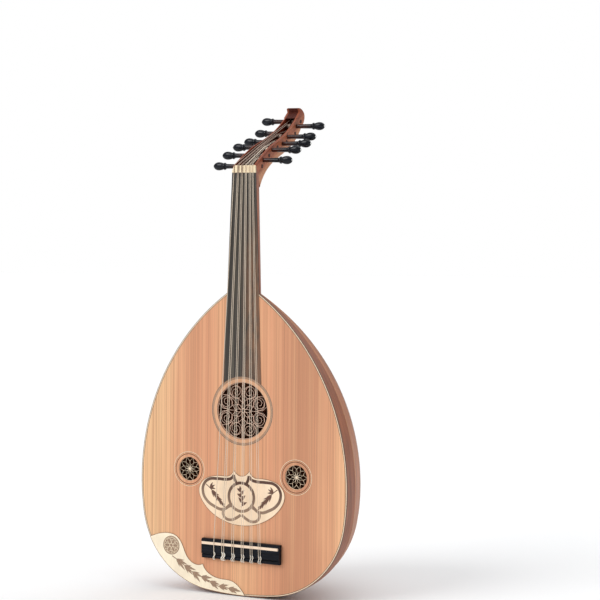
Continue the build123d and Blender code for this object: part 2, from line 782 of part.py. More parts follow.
def pegbox_route(string):
    """The taut line from the nut's rear edge over the nearer pegs to the string's own peg."""
    radius = STRINGS[string][0]
    clear = PEG_RADIUS + STRING_GAP + radius
    here = (NUT_TOP_Y - 0.1, NUT_Z + NUT_LENGTH + 1.0)
    goal = peg_of(string)
    route = [here]
    over = [peg for peg in LEFT_PEGS + RIGHT_PEGS if peg[0] < goal[0] - 1]
    while True:
        end = tangent_point(here, goal, clear)
        slope = (end[1] - here[1]) / (end[0] - here[0])
        tops = [(y - 0.42 * (clear + 0.3), z + 0.91 * (clear + 0.3)) for y, z in over]
        ahead = [p for p in tops if p[0] > here[0] + 4]
        steeper = [p for p in ahead if (p[1] - here[1]) / (p[0] - here[0]) > slope]
        if not steeper:
            return route + [end]
        here = max(steeper, key=lambda p: (p[1] - here[1]) / (p[0] - here[0]))
        route.append(here)


def string_points(string):
    radius, bridge_x, at_nut, _, _ = STRINGS[string]
    low = BRIDGE_TAIL_Z - radius - 0.15
    points = [
        (bridge_x, -4.5, low),
        (bridge_x, -8.6 - radius, low),
        (bridge_x, BRIDGE_TOP_Y - radius - 0.3, BRIDGE_TAIL_Z + 9),
        (bridge_x, SADDLE_TOP_Y - radius - 0.1, SADDLE_Z),
    ]
    route = pegbox_route(string)
    winding_x = string_end_x(string)
    for y, z in route:
        share = (y - route[0][0]) / (route[-1][0] - route[0][0])
        points.append((at_nut + (winding_x - at_nut) * share, y, z))
    return points


def string_end_x(string):
    """Where along its peg a string's winding sits: inside the channel, in the nut's order."""
    room = pegbox_half(peg_of(string)[0]) - CHEEK_THICKNESS - 2.5
    return room * nut_x(string) / PEGBOX_HALF_AT_NUT


def make_course(name, strings):
    with BuildPart() as course:
        for string in strings:
            points = string_points(string)
            with BuildLine() as route:
                FilletPolyline(*points, radius=STRING_BEND_RADIUS)
            path = route.wires()[0]
            start = Plane(origin=points[0], z_dir=(0, -1, 0))
            with BuildSketch(start) as section:
                Circle(STRINGS[string][0])
            sweep(sections=section.sketch, path=path)
    save(course.part, name)


for course_index, course_strings in enumerate(COURSES):
    make_course(f"course_{course_index + 1}", course_strings)
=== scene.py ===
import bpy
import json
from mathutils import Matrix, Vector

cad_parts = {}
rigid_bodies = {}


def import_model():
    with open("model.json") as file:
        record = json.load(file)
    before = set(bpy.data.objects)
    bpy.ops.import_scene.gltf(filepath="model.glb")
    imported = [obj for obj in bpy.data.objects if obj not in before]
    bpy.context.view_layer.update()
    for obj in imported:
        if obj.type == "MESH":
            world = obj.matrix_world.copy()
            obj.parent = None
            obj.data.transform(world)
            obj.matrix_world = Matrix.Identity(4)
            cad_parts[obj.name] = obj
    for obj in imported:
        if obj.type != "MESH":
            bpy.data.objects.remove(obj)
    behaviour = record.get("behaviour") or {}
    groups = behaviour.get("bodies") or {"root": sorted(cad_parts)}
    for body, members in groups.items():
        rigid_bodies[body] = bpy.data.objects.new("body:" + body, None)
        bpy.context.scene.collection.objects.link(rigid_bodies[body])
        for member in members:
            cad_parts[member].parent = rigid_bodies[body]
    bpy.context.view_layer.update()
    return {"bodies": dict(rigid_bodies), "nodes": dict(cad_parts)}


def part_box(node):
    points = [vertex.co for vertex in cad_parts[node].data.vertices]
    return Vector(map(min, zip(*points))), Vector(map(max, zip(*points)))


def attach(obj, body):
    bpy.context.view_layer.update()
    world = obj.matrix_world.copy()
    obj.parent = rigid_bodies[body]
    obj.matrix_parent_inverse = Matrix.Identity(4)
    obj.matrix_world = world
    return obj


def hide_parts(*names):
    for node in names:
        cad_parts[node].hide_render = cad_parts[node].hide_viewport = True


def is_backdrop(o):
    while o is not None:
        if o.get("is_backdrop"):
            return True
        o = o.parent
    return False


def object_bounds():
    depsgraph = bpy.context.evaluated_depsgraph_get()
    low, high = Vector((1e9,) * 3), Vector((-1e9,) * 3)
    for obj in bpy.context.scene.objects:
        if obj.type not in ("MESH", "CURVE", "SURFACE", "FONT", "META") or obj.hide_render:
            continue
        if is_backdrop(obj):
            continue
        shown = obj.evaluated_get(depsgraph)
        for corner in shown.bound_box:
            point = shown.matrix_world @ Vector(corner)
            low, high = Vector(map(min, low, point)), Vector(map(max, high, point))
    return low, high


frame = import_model()

import json
from math import asin, atan2, cos, degrees, hypot, pi, radians, sin, sqrt

import bpy
from mathutils import Matrix, Vector

bl_info = {
    "name": "Oud dressing",
    "version": (1, 0, 0),
    "blender": (4, 5, 0),
    "location": "View3D > Sidebar > Oud",
    "description": "Dresses a packed oud with its roses, inlays, ties, windings and finishes",
    "category": "Object",
}

# Lengths are in millimetres until at() turns them into metres.
MM = 0.001
BODY = "body"
FACE_Y = -2.0
PLATE_Y = -2.8
ROSE_Z = 305.3
ROSE_RADIUS = 46.6
ROSE_BACK_Y = 1.6
SMALL_ROSE_X = 100.0
SMALL_ROSE_Z = 202.6
SMALL_ROSE_RADIUS = 20.1
RIB_COUNT = 17
TAIL_HOLE_RADIUS = 6.0
INNER_CIRCLE = (24.6, 25.8)  # round each small rose
OUTER_CIRCLE_RADIUS = 29.0
ROSE_BAND_RADIUS = 57.0
PEG_TAPER = 1.0 / 60.0
PEG_RADIUS = 3.5
NUT_HALF = 21.0
PEGBOX_HALF = 21.0  # at its mouth
PEGBOX_LENGTH = 175.0
PEGBOX_TAPER = 9.0
PEGBOX_DOWN = (0.46, 0.888)  # towards +Y and -Z, square to its floor
STRING_MARGIN = 6.1  # from a cheek's outer face to the outermost string

# The bowl's profile in three arcs. Where two values are given, the second is at the back.
TAIL_RADIUS = 520.0
CORNER_RADIUS = (144.0, 190.0)
WIDEST = (192.5, 203.0)
WIDEST_Z = (183.0, 173.0)
NECK_HALF = (30.0, 22.0)
NECK_Z = 498.0
ARC_STEPS = (16, 24, 40)

# The camera, in degrees, metres and millimetres of lens.
AZIMUTH = 27.18
ELEVATION = 2.89
ROLL = 0.51
DISTANCE = 3.101
AIM = (0.1047, -0.002, 0.4905)
LENS = 115.6

# Strings from the bass side: radius, X at the bridge, X at the nut and the peg they wind on.
STRINGS = (
    (0.60, -46.5, -16.7, "peg_bass_6"),
    (0.55, -31.4, -10.4, "peg_treble_5"),
    (0.55, -27.8, -8.2, "peg_bass_5"),
    (0.50, -12.8, -3.3, "peg_treble_4"),
    (0.50, -9.3, -1.1, "peg_bass_4"),
    (0.45, 5.2, 3.8, "peg_treble_3"),
    (0.45, 8.8, 6.0, "peg_bass_3"),
    (0.38, 21.8, 10.6, "peg_treble_2"),
    (0.38, 25.4, 12.8, "peg_bass_2"),
    (0.35, 37.0, 15.9, "peg_treble_1"),
    (0.35, 40.5, 17.8, "peg_bass_1"),
)
WOUND_STRINGS = 5


# ------ settings


def length_setting(name, description, default):
    """A length that the user can change, in metres."""
    limits = {"min": 0.0002, "max": 0.02}
    return bpy.props.FloatProperty(
        name=name, description=description, unit="LENGTH", precision=5, default=default, **limits
    )


class OudSizes(bpy.types.PropertyGroup):
    """Sizes of the pieces that are modelled here."""

    tracery: length_setting("Tracery width", "Width of the main rose's bars", 0.00072)
    lattice: length_setting("Lattice width", "Width of the small roses' bars", 0.00092)
    band: length_setting("Band width", "Width of the pickguard's bands", 0.0056)
    stringing: length_setting("Stringing width", "Width of the line between two ribs", 0.001)
    turns: bpy.props.IntProperty(
        name="String turns", description="Turns of string on each peg", default=4, min=1, max=6
    )


def colour_setting(name, description, default):
    """A colour that the user can change."""
    limits = {"min": 0.0, "max": 1.0}
    return bpy.props.FloatVectorProperty(
        name=name, description=description, subtype="COLOR", size=3, default=default, **limits
    )


class OudColours(bpy.types.PropertyGroup):
    """Main colours of the finishes."""

    cedar: colour_setting("Cedar", "Soundboard", (0.71, 0.335, 0.19))
    cedar_edge: colour_setting("Cedar edge", "Outer boards of the soundboard", (0.92, 0.57, 0.31))
    rib: colour_setting("Rib", "Bowl and neck", (0.33, 0.105, 0.045))
    channel: colour_setting("Channel", "Inside of the pegbox", (0.15, 0.022, 0.008))
    maple: colour_setting("Maple", "Corner guard", (0.96, 0.83, 0.63))
    maple_warm: colour_setting("Warm maple", "Pickguard", (0.94, 0.73, 0.515))
    inlay: colour_setting("Inlay", "Dark bands and leaves", (0.11, 0.048, 0.028))
    ebony: colour_setting("Ebony", "Bridge and pegs", (0.0065, 0.008, 0.013))


# ------ mesh helpers


def at(x, y, z):
    return Vector((x, y, z)) * MM


def round_point(radius, angle, centre=(0.0, 0.0)):
    """The point at a radius and an angle in degrees round a centre."""
    return centre[0] + radius * cos(radians(angle)), centre[1] + radius * sin(radians(angle))


def fan(angle, knots, hand=1, centre=(0.0, 0.0)):
    """Points given by radius and by degrees aside from a direction."""
    return [round_point(radius, angle + hand * aside, centre) for radius, aside in knots]


def only(piece):
    """Makes the piece the only selected object."""
    for other in bpy.context.scene.objects:
        other.select_set(False)
    piece.select_set(True)
    bpy.context.view_layer.objects.active = piece


def edit(piece):
    only(piece)
    bpy.ops.object.mode_set(mode="EDIT")
    bpy.ops.mesh.select_all(action="SELECT")


def done():
    bpy.ops.object.mode_set(mode="OBJECT")


def settle(piece, smooth=40.0):
    """Leaves the piece at the origin with its normals outwards and its shading set."""
    only(piece)
    bpy.ops.object.transform_apply(location=True, rotation=True, scale=True)
    edit(piece)
    bpy.ops.mesh.normals_make_consistent(inside=False)
    done()
    bpy.ops.object.shade_smooth_by_angle(angle=radians(smooth))


def added(name, data):
    """A new object in the scene."""
    piece = bpy.data.objects.new(name, data)
    bpy.context.scene.collection.objects.link(piece)
    return piece


def wear(piece, finish):
    piece.data.materials.clear()
    piece.data.materials.append(FINISHES[finish])


def place(piece, finish, body=BODY, stands_for=()):
    """Gives the piece its finish and lets it ride on its body."""
    wear(piece, finish)
    if stands_for:
        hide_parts(*stands_for)
    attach(piece, body)
    return piece


def join(pieces, name):
    """Joins pieces into one."""
    only(pieces[0])
    for piece in pieces[1:]:
        piece.select_set(True)
    if len(pieces) > 1:
        bpy.ops.object.join()
    joined = bpy.context.view_layer.objects.active
    joined.name = name
    joined.data.name = name
    return joined


def mesh_piece(name, points, faces):
    mesh = bpy.data.meshes.new(name)
    mesh.from_pydata([tuple(at(*p)) for p in points], [], faces)
    return added(name, mesh)


def ring(name, centre, inner, outer, y_front, y_back, sides=96):
    """A flat ring let into the face, round a centre given as (x, z)."""
    only(frame["bodies"][BODY])
    middle = at(centre[0], y_front, centre[1])
    bpy.ops.mesh.primitive_circle_add(
        vertices=sides, radius=inner * MM, location=middle, rotation=(pi / 2, 0, 0)
    )
    piece = bpy.context.object
    piece.name = name
    edit(piece)
    bpy.ops.mesh.extrude_edges_move(TRANSFORM_OT_translate={"value": (0, 0, 0)})
    bpy.ops.transform.resize(value=(outer / inner, 1, outer / inner), center_override=middle)
    bpy.ops.mesh.select_all(action="SELECT")
    bpy.ops.mesh.extrude_region_move(TRANSFORM_OT_translate={"value": at(0, y_back - y_front, 0)})
    done()
    settle(piece)
    return piece


def plates(name, outlines, proud):
    """Flat inlays from closed outlines of (x, z) points, each a hair above the last."""
    y_front, y_back = PLATE_Y - proud, PLATE_Y + 0.2
    points = []
    faces = []
    for number, outline in enumerate(outlines):
        faces.append(list(range(len(points), len(points) + len(outline))))
        points.extend((x, y_back - 0.004 * number, z) for x, z in outline)
    piece = mesh_piece(name, points, faces)
    edit(piece)
    bpy.ops.mesh.extrude_region_move(TRANSFORM_OT_translate={"value": at(0, y_front - y_back, 0)})
    done()
    settle(piece)
    return piece


def tube(name, lines, radius, smooth_lines=True, resolution=4, sides=1):
    """Round bars along lines of (x, y, z) points. Each line is (points, closed)."""
    curve = bpy.data.curves.new(name, "CURVE")
    curve.dimensions = "3D"
    curve.bevel_depth = radius * MM
    curve.bevel_resolution = sides
    curve.use_fill_caps = True
    curve.resolution_u = resolution if smooth_lines else 1
    for points, closed in lines:
        spline = curve.splines.new("BEZIER")
        spline.bezier_points.add(len(points) - 1)
        spline.use_cyclic_u = closed
        for knot, point in zip(spline.bezier_points, points):
            knot.co = at(*point)
            knot.handle_left_type = "AUTO" if smooth_lines else "VECTOR"
            knot.handle_right_type = knot.handle_left_type
    only(added(name, curve))
    bpy.ops.object.convert(target="MESH")
    return bpy.context.object


def flat_bars(name, lines, width, y, thickness, smooth_lines=True, resolution=4):
    """Low rounded bars along lines of (x, z) points, with their middle at y."""
    spread = [([(x, 0.0, z) for x, z in points], closed) for points, closed in lines]
    piece = tube(name, spread, width / 2, smooth_lines, resolution)
    piece.data.transform(Matrix.Diagonal((1, thickness / width, 1, 1)))
    piece.data.transform(Matrix.Translation(at(0, y, 0)))
    settle(piece, 60.0)
    return piece


def mirrored(points):
    return [(-x, z) for x, z in points]


def circle(centre, radius, steps=12):
    return [round_point(radius, 360.0 * i / steps, centre) for i in range(steps)], True


def spiral(centre, outer, inner, start, turns):
    steps_a_turn = 10
    count = int(abs(turns) * steps_a_turn)
    points = []
    for i in range(count + 1):
        share = i / count
        radius = outer + (inner - outer) * share
        points.append(round_point(radius, start + 360.0 * turns * share, centre))
    return points, False


def leaf(base, angle, length, width, bend=0.0):
    """A pointed leaf outline from its base, growing at an angle in degrees."""
    steps = 5
    ahead = round_point(1.0, angle)
    across = (-ahead[1], ahead[0])
    right = []
    left = []
    for i in range(steps + 1):
        share = i / steps
        half = width / 2 * sin(pi * share**0.75) + 0.02
        middle = bend * sin(pi * share)
        x = base[0] + ahead[0] * length * share
        z = base[1] + ahead[1] * length * share
        right.append((x + across[0] * (middle + half), z + across[1] * (middle + half)))
        left.append((x + across[0] * (middle - half), z + across[1] * (middle - half)))
    return right + left[::-1]


# ------ the body's outline


def between(pair, share):
    return pair[0] + (pair[1] - pair[0]) * share


def profile_arcs(angle, inset):
    """The three arcs of the bowl's profile at an angle round Z: centre, radius, start and end."""
    swell = sin(angle) ** 2
    wide = hypot(WIDEST[0] * cos(angle), WIDEST[1] * sin(angle))
    widest_z = between(WIDEST_Z, swell)
    corner_radius = between(CORNER_RADIUS, swell)
    neck = 1.0 / hypot(cos(angle) / NECK_HALF[0], sin(angle) / NECK_HALF[1])
    rise = NECK_Z - widest_z
    flank_radius = ((wide - neck) ** 2 + rise**2) / (2 * (wide - neck))
    apart_x, apart_z = wide - flank_radius, widest_z - TAIL_RADIUS
    apart = hypot(apart_x, apart_z)
    to_tail, to_flank = TAIL_RADIUS - corner_radius, flank_radius - corner_radius
    along_line = (to_tail**2 - to_flank**2 + apart**2) / (2 * apart)
    aside = sqrt(to_tail**2 - along_line**2)
    corner_x = (along_line * apart_x - aside * apart_z) / apart
    corner_z = TAIL_RADIUS + (along_line * apart_z + aside * apart_x) / apart
    first = degrees(atan2(corner_z - TAIL_RADIUS, corner_x))
    second = degrees(atan2(corner_z - widest_z, corner_x - apart_x))
    last = degrees(asin(rise / (flank_radius - inset)))
    return (
        ((0.0, TAIL_RADIUS), TAIL_RADIUS - inset, -90.0, first),
        ((corner_x, corner_z), corner_radius - inset, first, second),
        ((apart_x, widest_z), flank_radius - inset, second, last),
    )


def profile_points(angle, inset, start_x=0.0):
    """Points along one profile, from the tail to the neck, as (distance from Z, z)."""
    points = []
    for steps, (centre, radius, start, end) in zip(ARC_STEPS, profile_arcs(angle, inset)):
        if not points:
            start += degrees(asin(start_x / radius))
        for i in range(1 if points else 0, steps + 1):
            points.append(round_point(radius, start + (end - start) * i / steps, centre))
    return points


def edge_strip(name, outer_inset, inner_inset, y_front, y_back):
    """A strip of the binding between two insets from the outline."""
    half = profile_points(0.0, outer_inset)
    outer = mirrored(half[:0:-1]) + half
    half = profile_points(0.0, inner_inset)
    inner = mirrored(half[:0:-1]) + half
    points = []
    for (xo, zo), (xi, zi) in zip(outer, inner):
        points.extend([(xo, y_front, zo), (xi, y_front, zi), (xi, y_back, zi), (xo, y_back, zo)])
    return swept_box(name, points)


def swept_box(name, points):
    """A strip from its four corners at each station along it."""
    faces = [[0, 1, 2, 3]]
    stations = len(points) // 4
    for i in range(stations - 1):
        for side in range(4):
            a, b = 4 * i + side, 4 * i + (side + 1) % 4
            faces.append([a, b, b + 4, a + 4])
    last = 4 * (stations - 1)
    faces.append([last, last + 3, last + 2, last + 1])
    piece = mesh_piece(name, points, faces)
    settle(piece)
    return piece


# ------ finishes


class Finish:
    """A material put together from nodes."""

    def __init__(self, name, roughness=0.5, coat=0.0, metallic=0.0, specular=0.5):
        self.material = bpy.data.materials.new(name)
        self.material.use_nodes = True
        self.tree = self.material.node_tree
        self.shader = self.tree.nodes["Principled BSDF"]
        levels = {
            "Roughness": roughness,
            "Coat Weight": coat,
            "Coat Roughness": 0.1,
            "Metallic": metallic,
            "Specular IOR Level": specular,
        }
        for key, value in levels.items():
            self.shader.inputs[key].default_value = value
        coordinates = self.node("TexCoord").outputs
        self.place = coordinates["Object"]
        self.normal = coordinates["Normal"]

    def node(self, kind, inputs=(), **settings):
        made = self.tree.nodes.new("ShaderNode" + kind)
        for key, value in settings.items():
            setattr(made, key, value)
        for key, value in dict(inputs).items():
            if isinstance(value, bpy.types.NodeSocket):
                self.tree.links.new(value, made.inputs[key])
            else:
                made.inputs[key].default_value = value
        return made

    def sized(self, size, turn=(0.0, 0.0, 0.0), centre=(0.0, 0.0, 0.0), vector=None):
        """Coordinates in which one unit is size millimetres along each axis."""
        inputs = {
            "Vector": vector or self.place,
            "Location": at(*centre),
            "Rotation": tuple(radians(t) for t in turn),
            "Scale": at(*size),
        }
        return self.node("Mapping", inputs, vector_type="TEXTURE").outputs[0]

    def noise(self, vector, detail=4.0, roughness=0.55, distortion=0.0):
        names = ("Vector", "Scale", "Detail", "Roughness", "Distortion")
        inputs = dict(zip(names, (vector, 1.0, detail, roughness, distortion)))
        return self.node("TexNoise", inputs).outputs["Fac"]

    def ramp(self, factor, stops, interpolation="LINEAR"):
        made = self.node("ValToRGB", {"Fac": factor})
        made.color_ramp.interpolation = interpolation
        elements = made.color_ramp.elements
        elements.remove(elements[1])
        elements[0].position = stops[0][0]
        for position, _ in stops[1:]:
            elements.new(position)
        for element, (_, colour) in zip(elements, stops):
            element.color = (*colour, 1.0)
        return made.outputs["Color"]

    def fleck(self, size, *detail):
        """Noise whose marks are of a size along each axis."""
        return self.noise(self.sized(size), *detail)

    def level(self, factor, low, high, to_low=0.0, to_high=1.0):
        """Spreads a value between two levels, and clamps it."""
        names = ("Value", "From Min", "From Max", "To Min", "To Max")
        inputs = dict(zip(names, (factor, low, high, to_low, to_high)))
        return self.node("MapRange", inputs).outputs["Result"]

    def sums(self, operation, *values):
        return self.node("Math", dict(enumerate(values)), operation=operation).outputs[0]

    def times(self, first, second):
        return self.sums("MULTIPLY", first, second)

    def plus(self, first, second):
        return self.sums("ADD", first, second)

    def minus(self, first, second):
        return self.sums("SUBTRACT", first, second)

    def reach(self, first, second):
        """The distance whose parts along two axes are given."""
        squares = self.plus(self.sums("POWER", first, 2.0), self.sums("POWER", second, 2.0))
        return self.sums("SQRT", squares)

    def mix(self, factor, first, second):
        inputs = {0: factor}
        for index, value in ((6, first), (7, second)):
            is_socket = isinstance(value, bpy.types.NodeSocket)
            inputs[index] = value if is_socket else (*value, 1.0)
        return self.node("Mix", inputs, data_type="RGBA").outputs[2]

    def axes(self, vector=None):
        return self.node("SeparateXYZ", {"Vector": vector or self.place}).outputs

    def shades(self, name, socket):
        """Lets a socket drive one of the shader's inputs."""
        self.tree.links.new(socket, self.shader.inputs[name])

    def colour(self, socket):
        self.shades("Base Color", socket)

    def rough(self, pattern, low, high, span=(0.3, 0.7)):
        """Roughness that follows a pattern over its usual span."""
        self.shades("Roughness", self.level(pattern, *span, low, high))

    def bump(self, height, strength=0.2, distance=0.2):
        inputs = {"Height": height, "Strength": strength, "Distance": distance * MM}
        self.shades("Normal", self.node("Bump", inputs).outputs[0])


def tone(red, green, blue):
    """A colour from its three display levels, each well above 10 of 255."""
    return tuple(((level / 255 + 0.055) / 1.055) ** 2.4 for level in (red, green, blue))


def shade(colour, factor):
    return tuple(min(1.0, channel * factor) for channel in colour)


def blend_of(first, second, share):
    return tuple(a + (b - a) * share for a, b in zip(first, second))


def tones_of(colour, spread):
    return shade(colour, 1 - spread), colour, shade(colour, 1 + spread)


def grained(finish, tones, size, turn=(0, 0, 0), vector=None, bump=0.15, gloss=(0.3, 0.45)):
    """Wood grain: broad figure, finer streaks and short dark pores. Returns the colour."""

    def marks(factors, *detail):
        spans = [s * f for s, f in zip(size, factors)]
        return finish.noise(finish.sized(spans, turn, vector=vector), *detail)

    dark, middle, light = tones
    broad = marks((1.0, 1.0, 1.0), 4.0, 0.55, 0.5)
    streaks = marks((0.18, 0.18, 0.5), 5.0, 0.65)
    pores = marks((0.05, 0.05, 0.1), 3.0)
    figure = finish.plus(finish.times(broad, 0.6), finish.times(streaks, 0.4))
    colour = finish.ramp(figure, ((0.34, dark), (0.5, middle), (0.66, light)))
    open_pores = finish.level(pores, 0.60, 0.72)
    colour = finish.mix(finish.times(open_pores, 0.5), colour, shade(dark, 0.45))
    finish.rough(streaks, gloss[1], gloss[0])
    finish.bump(finish.minus(streaks, open_pores), bump, 0.08)
    return colour


def wood(name, colour, coat=0.2, spread=0.35, **grain):
    """A plain board or block of one wood, its grain upright."""
    finish = Finish(name, coat=coat)
    finish.colour(grained(finish, tones_of(colour, spread), (9.0, 9.0, 120.0), **grain))
    return finish.material


def rib_wood(name, colour, spread):
    """Bowl wood, its grain running along the ribs from tail to neck."""
    finish = Finish(name, coat=0.04, specular=0.22)
    x, y, z = finish.axes()
    around = finish.times(finish.sums("ARCTAN2", y, x), 0.17)
    vector = finish.node("CombineXYZ", {"X": around, "Y": 0.0, "Z": z}).outputs[0]
    size = (6.0, 6.0, 110.0)
    finish.colour(grained(finish, tones_of(colour, spread), size, vector=vector, gloss=(0.34, 0.5)))
    return finish.material


def cedar(colours):
    """The soundboard: matched boards of different tones, with fine upright growth lines."""
    finish = Finish("cedar_top", specular=0.2)
    x, y, z = finish.axes()
    lines = finish.fleck((1.7, 40.0, 700.0), 2.0, 0.6)
    streaks = finish.fleck((9.0, 60.0, 900.0), 4.0, 0.6)
    cloud = finish.fleck((60.0, 90.0, 260.0), 2.0)
    sway = finish.times(finish.minus(cloud, 0.5), 0.05)
    across = finish.level(finish.plus(x, sway), -WIDEST[0] * MM, WIDEST[0] * MM)
    base = tuple(colours.cedar)
    pale = tuple(colours.cedar_edge)
    boards = (
        (0.02, pale),
        (0.10, shade(pale, 0.90)),
        (0.17, blend_of(base, pale, 0.30)),
        (0.25, blend_of(base, pale, 0.08)),
        (0.34, base),
        (0.50, blend_of(base, pale, 0.60)),
        (0.63, base),
        (0.74, shade(base, 0.80)),
        (0.84, shade(base, 0.84)),
        (0.93, blend_of(base, pale, 0.25)),
        (0.99, blend_of(base, pale, 0.55)),
    )
    colour = finish.ramp(across, boards)
    colour = finish.mix(finish.level(streaks, 0.5, 0.72, 0.0, 0.55), colour, shade(base, 0.72))
    colour = finish.mix(finish.level(streaks, 0.5, 0.30, 0.0, 0.25), colour, pale)
    growth = finish.level(lines, 0.46, 0.66)
    wide = finish.level(finish.fleck((3.4, 60.0, 1200.0), 1.0), 0.50, 0.66)
    colour = finish.mix(finish.times(wide, 0.30), colour, shade(base, 0.66))
    colour = finish.mix(finish.times(growth, 0.42), colour, shade(base, 0.58))
    joint = finish.level(finish.sums("ABSOLUTE", x), 0.00025, 0.00010)
    finish.colour(finish.mix(finish.times(joint, 0.5), colour, shade(base, 0.4)))
    finish.rough(lines, 0.45, 0.6)
    finish.bump(growth, 0.12, 0.05)
    return finish.material


def pegbox_wood(name, colours, part):
    """Cheeks, head or floor: deep red inside, brown to tan outside, the rims between. On the head,
    the bed between the cheeks is painted darker as shade.
    """
    finish = Finish(name, coat=0.03, specular=0.2)

    def down(y, z):
        return finish.minus(finish.times(y, PEGBOX_DOWN[0]), finish.times(z, PEGBOX_DOWN[1]))

    facing = finish.axes(finish.normal)
    x, y, z = finish.axes()
    if part == "floor":
        outward = down(facing[1], facing[2])
    else:
        outward = finish.times(facing[0], finish.sums("SIGN", x))
    brown = tone(166, 98, 70)
    tones = (shade(brown, 0.55), brown, shade(brown, 1.35))
    outside = grained(finish, tones, (6.0, 7.0, 50.0), (-60.0, 0.0, 0.0), gloss=(0.35, 0.5))
    depth = down(y, z)
    red = finish.mix(finish.level(depth, -0.6278, -0.6218, 0.65, 0.0), outside, tone(110, 38, 20))
    pale = finish.level(depth, -0.6130, -0.6060, 0.0, 0.12 if part == "floor" else 0.55)
    outside = finish.mix(pale, red, tone(214, 160, 120))
    fleck = finish.fleck((4.0, 9.0, 9.0))
    inside = finish.mix(fleck, shade(colours.channel, 0.6), shade(colours.channel, 1.8))
    rim = finish.mix(finish.fleck((3.0, 12.0, 12.0)), tone(112, 46, 28), tone(168, 94, 64))
    # Painted shade: on the head, the front faces between the cheeks (the recessed bed) are painted
    # a much darker red.
    if part == "head":
        front = finish.level(facing[1], -0.3, -0.6)
        middle = finish.level(finish.sums("ABSOLUTE", x), 0.0092, 0.0084)
        painted_bed_shade = finish.mix(fleck, shade(colours.channel, 0.2), shade(colours.channel, 0.7))
        rim = finish.mix(finish.times(front, middle), rim, painted_bed_shade)
        inside = rim
    colour = finish.mix(finish.level(outward, -0.75, -0.3), inside, rim)
    finish.colour(finish.mix(finish.level(outward, 0.3, 0.75), colour, outside))
    return finish.material


def ring_wood():
    """The band round the main rose: pale wood inside, then fine dark and light lines."""
    finish = Finish("rose_band", roughness=0.48, specular=0.35)
    millimetres = finish.sized((1.0, 1.0, 1.0), centre=(0.0, 0.0, ROSE_Z))
    x, y, z = finish.axes(millimetres)
    pale = finish.mix(finish.fleck((2.5, 9.0, 40.0)), (0.62, 0.30, 0.16), (0.82, 0.50, 0.30))
    grey = finish.mix(finish.fleck((1.2, 4.0, 1.2)), (0.13, 0.095, 0.07), (0.30, 0.22, 0.16))
    share = finish.level(finish.reach(x, z), ROSE_RADIUS, ROSE_BAND_RADIUS)
    steps = {0.0: 1.0, 0.05: 0.0, 0.6: 1.0, 0.66: 0.25, 0.72: 1.0, 0.8: 0.1, 0.86: 1.0}
    stops = [(start, (value,) * 3) for start, value in steps.items()]
    lines = finish.ramp(share, stops, "CONSTANT")
    finish.colour(finish.mix(lines, pale, grey))
    return finish.material


def circle_purfling():
    """The small roses' circles: a dark one inside, and a dark and a light line in the outer one."""
    finish = Finish("circle_purfling", specular=0.3)
    x, y, z = finish.axes()
    aside = finish.minus(finish.sums("ABSOLUTE", x), SMALL_ROSE_X * MM)
    above = finish.minus(z, SMALL_ROSE_Z * MM)
    radius = finish.reach(aside, above)
    share = finish.level(radius, INNER_CIRCLE[0] * MM, OUTER_CIRCLE_RADIUS * MM)
    fleck = finish.fleck((1.5, 1.5, 1.5))
    dark = finish.mix(fleck, tone(84, 52, 34), tone(116, 78, 52))
    light = finish.mix(fleck, tone(248, 222, 184), tone(255, 240, 212))
    band = finish.ramp(share, ((0.0, (0, 0, 0)), (0.84, (1, 1, 1))), "CONSTANT")
    finish.colour(finish.mix(band, dark, light))
    finish.rough(fleck, 0.4, 0.5)
    return finish.material


def plate_wood(name, base):
    """Guard plates: pale figured maple, their side faces painted dark brown as shade at the edges.
    """
    finish = Finish(name, coat=0.15)
    cloud = finish.fleck((26.0, 20.0, 34.0), 3.0)
    fibre = finish.fleck((1.2, 6.0, 18.0), 4.0)
    face = finish.mix(finish.level(cloud, 0.35, 0.65), shade(base, 0.94), shade(base, 1.06))
    face = finish.mix(finish.level(fibre, 0.45, 0.75, 0.0, 0.35), face, shade(base, 0.80))
    # Painted shade: faces that do not face the front, the plate's sides, are painted dark brown.
    front = finish.times(finish.axes(finish.normal)[1], -1.0)
    finish.colour(finish.mix(finish.level(front, 0.5, 0.8), (0.17, 0.075, 0.035), face))
    finish.rough(fibre, 0.34, 0.46)
    finish.bump(fibre, 0.1, 0.04)
    return finish.material


def veneer(name):
    """A finish with a fine uneven surface, and the noise behind it."""
    finish = Finish(name)
    speck = finish.fleck((1.1, 1.1, 1.6), 4.0, 0.7)
    finish.rough(speck, 0.4, 0.55)
    finish.bump(speck, 0.15, 0.05)
    return finish, speck


def burnt(name, colour, light):
    """Inlaid veneer with a fine uneven tone."""
    finish, speck = veneer(name)
    finish.colour(finish.ramp(speck, ((0.35, colour), (0.65, light))))
    return finish.material


def fading_inlay(colour):
    """Dark veneer that pales towards the tail and the bass side."""
    finish, speck = veneer("fading_inlay")
    x, y, z = finish.axes()
    slanted = finish.plus(z, finish.times(x, 0.14))
    dark = finish.mix(speck, shade(colour, 0.5), shade(colour, 1.2))
    light = finish.mix(speck, tone(118, 94, 76), tone(172, 144, 120))
    finish.colour(finish.mix(finish.level(slanted, 0.186, 0.142), dark, light))
    return finish.material


def fingerboard_wood():
    """Dark oiled fingerboard with upright streaks and a worn brown patch on the treble side."""
    finish = Finish("fingerboard_wood", coat=0.1)
    x, y, z = finish.axes()
    tones = (tone(34, 30, 26), tone(62, 56, 49), tone(100, 93, 82))
    dark = grained(finish, tones, (3.2, 10.0, 260.0), gloss=(0.3, 0.45), bump=0.1)
    worn = finish.mix(finish.fleck((2.0, 5.0, 60.0)), tone(92, 62, 44), tone(150, 112, 84))
    patch = finish.times(finish.level(x, -0.004, 0.014), finish.level(z, 0.650, 0.520))
    patch = finish.times(patch, finish.level(finish.fleck((7.0, 9.0, 30.0)), 0.3, 0.6))
    finish.colour(finish.mix(patch, dark, worn))
    return finish.material


